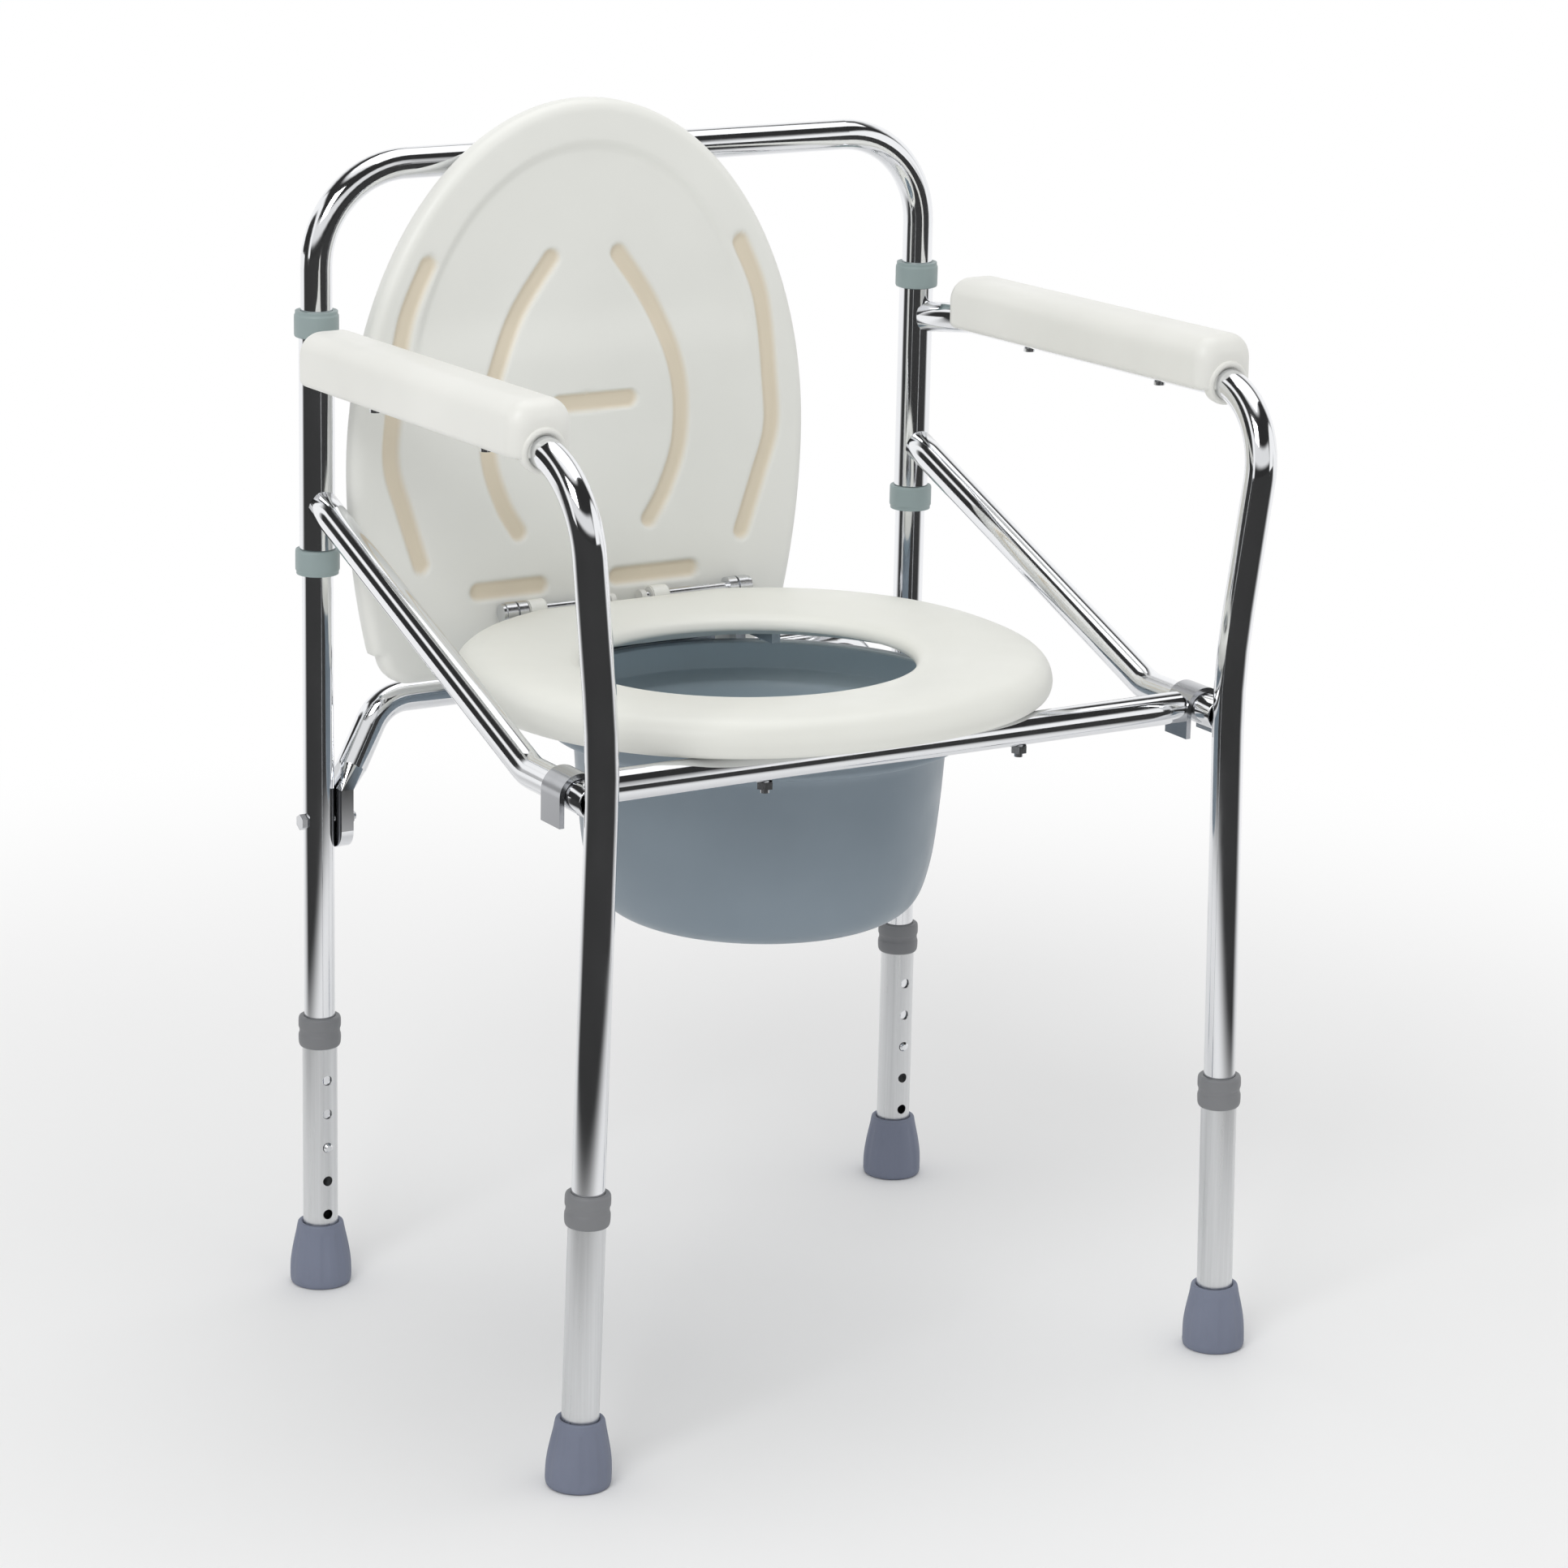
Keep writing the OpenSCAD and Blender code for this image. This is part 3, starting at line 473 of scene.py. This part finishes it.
def arm_pads():
    """Soft moulded arm pads with rounded noses and a lip where the tube leaves the front."""
    for side, name in ((1, "left"), (-1, "right")):
        back = Vector((side * 0.262, REAR_Y - 0.050, 0.676))
        front = Vector((side * 0.2645, REAR_Y - 0.415, 0.6845))
        forward = (front - back).normalized()
        across = Vector((0, 0, 1)).cross(forward).normalized()
        up = forward.cross(across)
        half, top, low = 0.023, 0.032, -0.005
        section = []
        big, small = 0.016, 0.005
        corners = ((half - big, top - big, big, 0), (-half + big, top - big, big, 90),
                   (-half + small, low + small, small, 180), (half - small, low + small, small, 270))
        for cx, cy, r, a0 in corners:
            for k in range(13):
                a = math.radians(a0 + 90 * k / 12)
                section.append((cx + r * math.cos(a), cy + r * math.sin(a)))
        start, end = -0.005, 0.315
        rows = []
        for nose, at, turn in ((0.015, start, -1), (0.013, end, 1)):
            part = []
            for k in range(13):
                a = math.radians(90 * k / 12)
                part.append((at - turn * nose * (1 - math.sin(a)), nose * (1 - math.cos(a))))
            rows.append(part)
        straight = [(start + (end - start) * k / 10, 0.0) for k in range(1, 10)]
        order = list(reversed(rows[0])) + straight + rows[1]
        verts = []
        for s, inset in order:
            for u, v in section:
                u2 = u * (1 - inset / half)
                v2 = v * (1 - inset / top) if v > 0 else v * (1 - 0.3 * inset / 0.015)
                verts.append(back + forward * s + across * u2 + up * v2)
        per = len(section)
        faces = ring_faces(len(order), per)
        faces.append(tuple(reversed(range(per))))
        faces.append(tuple((len(order) - 1) * per + j for j in range(per)))
        pad = make_object("arm_pad_moulding_" + name, verts, faces, PAD)
        fix_normals(pad)
        stand_in(pad, "arm_pad_" + name)
        tilt = math.radians(7)
        axis = forward * math.cos(tilt) - up * math.sin(tilt)
        ring = [(TUBE_R + 0.0001, -0.006), (0.0150, -0.006), (0.0156, -0.002), (0.0154, 0.0015),
                (0.0140, 0.0028), (0.0124, 0.0028), (TUBE_R + 0.0002, 0.0018)]
        lip = lathe("pad_lip_" + name, smooth_profile(ring, 4), back + forward * 0.3125 - up * 0.0002,
                    axis, PAD, 48)
        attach(lip, next(b for b, o in frame["bodies"].items() if o == NODES["arm_pad_" + name].parent))


def pail():
    """Smooth bowl with a wide rim band, turned as one skin outside and inside."""
    low, top = PAIL_LOW.z * 1000, PAIL_HIGH.z * 1000
    outside = [(0, low), (60, low), (86, low + 0.1), (97.5, low + 1.6), (106.5, low + 6), (113, low + 13),
               (118, low + 25), (123, low + 48), (127, low + 85), (129, top - 42), (131, top - 29),
               (136, top - 25.5), (147, top - 23.3), (149.6, top - 21), (150, top - 16), (150, top - 4.5),
               (151, top - 3.2), (156.4, top - 3), (157, top - 1.5), (156.4, top), (151, top)]
    inside = [(148.3, top - 0.8), (147.4, top - 3), (147.4, top - 17), (146, top - 20.4), (134, top - 23.6),
              (128.6, top - 27), (126.4, top - 42), (124.4, low + 85), (120.4, low + 49),
              (115.4, low + 27), (110.5, low + 15.5), (104, low + 8.5), (96, low + 4.2), (85, low + 2.6),
              (60, low + 2.5), (0, low + 2.5)]
    curve = smooth_profile(outside + inside, 5)
    profile = [(r / 1000, z / 1000) for r, z in curve]
    obj = lathe("pail_moulding", profile, (0, REAR_Y - 0.195, 0), (0, 0, 1), PAIL, 160)
    # The inside value marks where the pail's painted light goes
    layer = obj.data.attributes.new("inside", "FLOAT", "POINT")
    inner_from = len(smooth_profile(outside, 5)) * 160
    layer.data.foreach_set("value", [float(i >= inner_from) for i in range(len(obj.data.vertices))])
    stand_in(obj, "pail")


def rounded_path(points, bends):
    """A line of points whose corners are replaced by arcs of the given radii."""
    pts = [Vector(p) / 1000 for p in points]
    out = [pts[0]]
    for i in range(1, len(pts) - 1):
        a, b = (pts[i] - pts[i - 1]).normalized(), (pts[i + 1] - pts[i]).normalized()
        turn = a.angle(b)
        r = bends[i] / 1000
        cut = r * math.tan(turn / 2)
        centre = pts[i] + (b - a).normalized() * (r / math.cos(turn / 2))
        start, end = pts[i] - a * cut, pts[i] + b * cut
        count = max(3, int(math.degrees(turn) / 3))
        for k in range(count + 1):
            t = k / count
            u = (start - centre).normalized()
            v = (end - centre).normalized()
            arm = (u * math.sin((1 - t) * turn) + v * math.sin(t * turn)) / math.sin(turn) * r
            out.append(centre + arm)
    out.append(pts[-1])
    return out


def tube(name, path, material, steps=32):
    """A smooth hollow tube swept along a path without twist, its end edges slightly rounded."""
    radius, inner, edge = TUBE_R, TUBE_R - TUBE_WALL, 0.0004
    line = []
    for a, b in zip(path, path[1:]):
        n = max(1, int((b - a).length / 0.02))
        line += [a.lerp(b, k / n) for k in range(n)]
    line.append(path[-1])
    tangent = (line[1] - line[0]).normalized()
    side = tangent.orthogonal().normalized()
    rows = []
    for i, p in enumerate(line):
        before, after = line[max(i - 1, 0)], line[min(i + 1, len(line) - 1)]
        new = (after - before).normalized()
        side = (tangent.rotation_difference(new) @ side).normalized()
        tangent = new
        rows.append((p, tangent, side))
    rings = [(0, inner), (0, radius - edge)] + [(i, radius) for i in range(len(rows))]
    rings += [(len(rows) - 1, radius - edge)] + [(i, inner) for i in reversed(range(1, len(rows)))]
    verts = []
    for i, r in rings:
        p, forward, out = rows[i]
        if r == radius and i == 0:
            p = p + forward * edge
        if r == radius and i == len(rows) - 1:
            p = p - forward * edge
        other = forward.cross(out)
        for j in range(steps):
            a = 2 * math.pi * j / steps
            verts.append(p + (out * math.cos(a) + other * math.sin(a)) * r)
    obj = make_object(name, verts, ring_faces(len(rings), steps, True), material)
    fix_normals(obj)
    return obj


def bent_tubes():
    """Smooth versions of the arm tubes with their front legs, and of the side braces, in mm."""
    brace = [(245, 195, 576), (245, -109, 460), (245, -195, 460)]
    arm_and_leg = [(247.9, 195, 671.8), (262, 154, 676), (264.5, -211, 684.5), (243.7, -204, 495),
                   (254.3, -204, 92)]
    for side, name in ((1, "left"), (-1, "right")):
        path = rounded_path([(side * x, y, z) for x, y, z in brace], [0, 42, 0])
        stand_in(tube("side_brace_" + name, path, CHROME), "brace_" + name)
        path = rounded_path([(side * x, y, z) for x, y, z in arm_and_leg], [0, 55, 57, 600, 0])
        stand_in(tube("arm_and_leg_" + name, path, CHROME), "arm_leg_tube_" + name)


def leg_fittings():
    """Turned rubber tips and collars on the four legs and the back posts."""
    tip = [(0.0205, 0.0), (0.0213, 0.0008), (0.0219, 0.0035), (0.0220, 0.0090), (0.0217, 0.0160),
           (0.0208, 0.0230), (0.0195, 0.0300), (0.0180, 0.0370), (0.0168, 0.0430), (0.0163, 0.0452),
           (0.0155, 0.0459), (0.0140, 0.0460), (0.0128, 0.0450), (0.0126, 0.0420)]
    collar = [(0.0126, 0.1800), (0.0138, 0.1798), (0.0147, 0.1812), (0.0151, 0.1840), (0.0151, 0.1880),
              (0.0145, 0.1900), (0.0145, 0.1925), (0.0151, 0.1945), (0.0151, 0.1990), (0.0147, 0.2012),
              (0.0136, 0.2020), (0.0112, 0.2020)]
    for end, y in (("rear", REAR_Y), ("front", REAR_Y - 0.408)):
        for name, side in (("left", 1), ("right", -1)):
            lean = 0.0263 if end == "front" else 0.0
            foot = (side * (0.2567 if end == "front" else 0.245), y, 0)
            axis = (-side * lean, 0, 1)
            body = end + "_" + name
            profile = [(0.0, 0.0)] + [tuple(p) for p in smooth_profile(tip, 5)]
            obj = lathe("tip_" + body, profile, foot, axis, RUBBER, 96)
            for v in obj.data.vertices:
                out = Vector((v.co.x - foot[0], v.co.y - foot[1]))
                rib = 0.5 + 0.5 * math.cos(10 * math.atan2(out.y, out.x))
                level = smoothstep(0.003, 0.008, v.co.z) * (1 - smoothstep(0.038, 0.042, v.co.z))
                inwards = 0.0007 * level * smoothstep(0.55, 0.85, rib) if out.length > 0.0135 else 0.0
                v.co.x -= out.normalized().x * inwards
                v.co.y -= out.normalized().y * inwards
                v.co.z = max(v.co.z, 0.0)
            stand_in(obj, "rubber_tip_" + body)
            obj = lathe("collar_" + body, smooth_profile(collar, 4), foot, axis, COLLAR_GRAY, 80)
            stand_in(obj, "leg_collar_" + body)
    band = [(0.0112, 0.0), (0.0146, 0.0), (0.0154, 0.0012), (0.0155, 0.0040), (0.0155, 0.0135),
            (0.0153, 0.0150), (0.0148, 0.0160), (0.0148, 0.0174), (0.0144, 0.0180), (0.0112, 0.0180)]
    for name, side in (("left", 1), ("right", -1)):
        for level in ("upper", "lower"):
            node = level + "_collar_" + name
            low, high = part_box(node)
            flip = 1 if level == "upper" else -1
            scale = (high.z - low.z) / 0.018
            profile = [(r, scale * h) for r, h in smooth_profile(band, 4)]
            start = low.z if flip > 0 else high.z
            obj = lathe("band_" + level + "_" + name, profile, (side * 0.245, REAR_Y, start),
                        (0, 0, flip), COLLAR_GREEN, 80)
            stand_in(obj, node)


# ---------------------------------------------------------------- stage

def math_node(tree, op, a, b=None):
    """A maths node whose inputs are numbers or sockets."""
    node = tree.nodes.new("ShaderNodeMath")
    node.operation = op
    for i, v in enumerate((a, b)):
        if isinstance(v, (int, float)):
            node.inputs[i].default_value = v
        elif v is not None:
            tree.links.new(v, node.inputs[i])
    return node.outputs[0]


def soft_step(tree, value, low, high):
    node = tree.nodes.new("ShaderNodeMapRange")
    node.interpolation_type = "SMOOTHSTEP"
    node.inputs["From Min"].default_value = low
    node.inputs["From Max"].default_value = high
    tree.links.new(value, node.inputs["Value"])
    return node.outputs["Result"]


def along(tree, vector, direction):
    """Dot product of a vector socket with a fixed direction."""
    dot = tree.nodes.new("ShaderNodeVectorMath")
    dot.operation = "DOT_PRODUCT"
    tree.links.new(vector, dot.inputs[0])
    dot.inputs[1].default_value = direction
    return dot.outputs["Value"]


def studio_world():
    """White to the eye and as soft light; in reflections a dark room with a white sweep behind
    the chair, a ceiling panel overhead, two bright side panels and a low front panel."""
    world = bpy.data.worlds.new("studio")
    bpy.context.scene.world = world
    world.use_nodes = True
    tree = world.node_tree
    tree.nodes.clear()
    out = tree.nodes.new("ShaderNodeOutputWorld")
    background = tree.nodes.new("ShaderNodeBackground")
    tree.links.new(background.outputs[0], out.inputs[0])
    coord = tree.nodes.new("ShaderNodeTexCoord").outputs["Generated"]
    toward_camera = along(tree, coord, TO_CAMERA)
    height = along(tree, coord, (0, 0, 1))
    side = along(tree, coord, (TO_CAMERA[1], -TO_CAMERA[0], 0))

    def panel(value, centre, half, soft):
        inner = math_node(tree, "ABSOLUTE", math_node(tree, "SUBTRACT", value, centre))
        return math_node(tree, "SUBTRACT", 1.0, soft_step(tree, inner, half, half + soft))

    away = math_node(tree, "MULTIPLY", toward_camera, -1.0)
    sweep = math_node(tree, "MULTIPLY", soft_step(tree, away, 0.3, 0.6), panel(height, 0.0, 0.5, 0.25))
    ceiling = soft_step(tree, height, 0.86, 0.95)
    left = math_node(tree, "MULTIPLY", panel(side, -0.93, 0.05, 0.05), panel(height, 0.1, 0.6, 0.1))
    right = math_node(tree, "MULTIPLY", panel(side, 0.8, 0.05, 0.05), panel(height, 0.1, 0.5, 0.1))
    ahead = soft_step(tree, toward_camera, 0.3, 0.6)
    front = math_node(tree, "MULTIPLY", ahead, panel(height, 0.3, 0.1, 0.12))
    bright = math_node(tree, "MULTIPLY", front, 0.8)
    for light in (sweep, ceiling, left, right):
        bright = math_node(tree, "MAXIMUM", bright, light)
    room = math_node(tree, "ADD", bright, 0.03)
    path = tree.nodes.new("ShaderNodeLightPath")
    glossy = path.outputs["Is Glossy Ray"]
    camera_ray = path.outputs["Is Camera Ray"]
    soft_light = math_node(tree, "ADD", 0.62, math_node(tree, "MULTIPLY", camera_ray, 0.38))
    keep = math_node(tree, "SUBTRACT", 1.0, glossy)
    strength = math_node(tree, "ADD", math_node(tree, "MULTIPLY", glossy, room),
                         math_node(tree, "MULTIPLY", keep, soft_light))
    tree.links.new(strength, background.inputs["Strength"])
    background.inputs["Color"].default_value = (1.0, 1.0, 1.0, 1)


def area_light(name, place, size, power, target=(0, 0, 0.4)):
    light = bpy.data.lights.new(name, "AREA")
    light.shape = "RECTANGLE"
    light.size, light.size_y = size
    light.energy = power
    obj = bpy.data.objects.new(name, light)
    bpy.context.scene.collection.objects.link(obj)
    obj.location = place
    obj.rotation_euler = (Vector(target) - Vector(place)).to_track_quat("-Z", "Y").to_euler()
    return obj


def floor():
    """Pale floor; far off it is plain white, and in reflections it is dark except behind the chair."""
    half, height = 40.0, -0.0004
    mat, tree, shader, coord = new_material("floor")
    shade = ramp(tree, noise(tree, coord, 0.8, 2.0), (0.9, 0.9, 0.9), (0.93, 0.93, 0.93))
    tree.links.new(shade, shader.inputs["Base Color"])
    shader.inputs["Roughness"].default_value = 0.7
    shader.inputs["Specular IOR Level"].default_value = 0.1
    length = tree.nodes.new("ShaderNodeVectorMath")
    length.operation = "LENGTH"
    tree.links.new(coord, length.inputs[0])
    far = soft_step(tree, length.outputs["Value"], 0.55, 1.6)
    dark = math_node(tree, "MULTIPLY", soft_step(tree, length.outputs["Value"], 0.45, 1.1),
                     soft_step(tree, along(tree, coord, TO_CAMERA), -0.9, 0.2))
    glossy = tree.nodes.new("ShaderNodeLightPath").outputs["Is Glossy Ray"]
    mirrored = math_node(tree, "MULTIPLY", dark, glossy)
    keep = math_node(tree, "SUBTRACT", 1.0, math_node(tree, "MULTIPLY", mirrored, 0.96))
    white = tree.nodes.new("ShaderNodeEmission")
    tree.links.new(keep, white.inputs["Strength"])
    mix = tree.nodes.new("ShaderNodeMixShader")
    tree.links.new(math_node(tree, "MAXIMUM", far, mirrored), mix.inputs[0])
    tree.links.new(shader.outputs[0], mix.inputs[1])
    tree.links.new(white.outputs[0], mix.inputs[2])
    tree.links.new(mix.outputs[0], tree.nodes["Material Output"].inputs["Surface"])
    corners = [(-half, -half), (half, -half), (half, half), (-half, half)]
    obj = make_object("floor", [(x, y, height) for x, y in corners], [(0, 1, 2, 3)], mat)


def camera():
    """Camera at the viewing angle: azimuth, elevation, slight roll, and its place in metres."""
    azimuth, elevation, roll = (math.radians(v) for v in (-31.46, 15.57, 1.24))
    back = Vector((math.sin(azimuth) * math.cos(elevation), -math.cos(azimuth) * math.cos(elevation),
                   math.sin(elevation)))
    flat = Vector((math.cos(azimuth), math.sin(azimuth), 0))
    up = back.cross(flat)
    right = flat * math.cos(roll) + up * math.sin(roll)
    top = up * math.cos(roll) - flat * math.sin(roll)
    data = bpy.data.cameras.new("camera")
    data.lens = 113.35
    data.sensor_width = 36.0
    data.clip_end = 200.0
    obj = bpy.data.objects.new("camera", data)
    bpy.context.scene.collection.objects.link(obj)
    rotation = Matrix((right, top, back)).transposed().to_4x4()
    obj.matrix_world = Matrix.Translation((-1.7154, -2.8283, 1.3152)) @ rotation
    bpy.context.scene.camera = obj


camera()
studio_world()
floor()
area_light("key_softbox", (-2.2, -1.6, 2.8), (1.4, 1.4), 34)
area_light("top_softbox", (0.6, 0.3, 3.2), (2.6, 2.6), 26)
bpy.context.scene.view_settings.view_transform = "Standard"
dress_cad_nodes()
seat_ring()
lid()
arm_pads()
pail()
leg_fittings()
bent_tubes()
